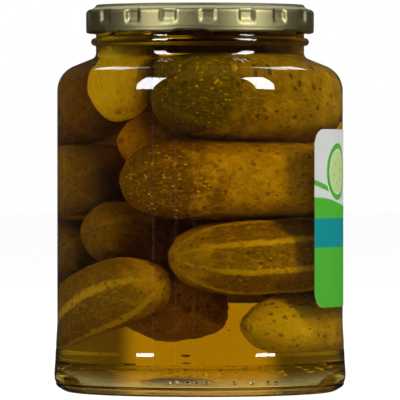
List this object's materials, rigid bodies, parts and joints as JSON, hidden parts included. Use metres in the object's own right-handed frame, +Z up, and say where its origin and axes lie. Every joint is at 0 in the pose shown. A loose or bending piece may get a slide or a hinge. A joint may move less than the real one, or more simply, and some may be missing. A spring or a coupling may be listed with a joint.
{
  "type": "pickle jar",
  "caption": "Round clear glass jar of whole pickled cucumbers in amber brine, closed by a pale gold twist-off metal lid, with a plain wrap label.",
  "frame": {"origin": "centre of the underside of the foot ring, on the surface that the jar stands on", "axes": "+Z up the jar's axis of turning; -Y towards the front, +X towards the label's first edge"},
  "size_m": [0.1092, 0.1092, 0.1449],
  "materials": {
    "jar_glass": "clear polished soda-lime glass",
    "brine": "clear amber brine",
    "lid_lacquer": "pale gold lacquered tinplate",
    "label_paper": "smooth coated paper, printed in flat colours",
    "pickle_skin": "wet, finely warted skin",
    "herb": "limp feathery herb",
    "spice": "small seeds and flecks"
  },
  "bodies": {
    "root": {"jar": "jar_glass", "brine": "brine", "lid": "lid_lacquer", "label": "label_paper"}
  },
  "joints": []
}
